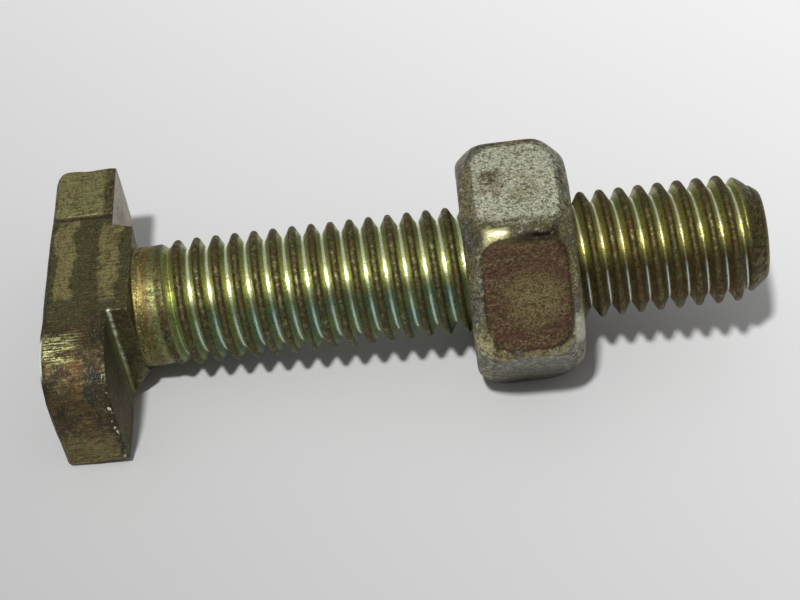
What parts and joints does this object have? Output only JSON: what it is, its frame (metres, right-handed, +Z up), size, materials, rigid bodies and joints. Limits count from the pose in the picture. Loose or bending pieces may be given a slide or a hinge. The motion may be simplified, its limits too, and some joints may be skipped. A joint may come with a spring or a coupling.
{
  "type": "t-head bolt",
  "caption": "Steel T-head bolt with a square neck, a threaded shank and a hexagon nut run part way along it, lying on its side.",
  "frame": {"origin": "on the bolt's axis, in the plane of the head's bearing face", "axes": "+Z up from the surface that the bolt lies on; +X towards the tip, over which the bolt's axis rises by 6.3 degrees; +Y along the length of the head"},
  "size_m": [0.0555, 0.023, 0.0177],
  "materials": {
    "bolt_plating": "yellow passivated zinc over steel, olive gold and worn",
    "nut_plating": "yellow passivated zinc over steel, faded to grey and brown"
  },
  "bodies": {
    "bolt": {"t_head_bolt": "bolt_plating"},
    "nut": {"hex_nut": "nut_plating"}
  },
  "joints": [
    {"name": "nut_travel", "type": "slide", "parent": "bolt", "child": "nut", "axis": [0.9939, 0, 0.1103], "range_m": [-0.0225, 0.021]}
  ]
}
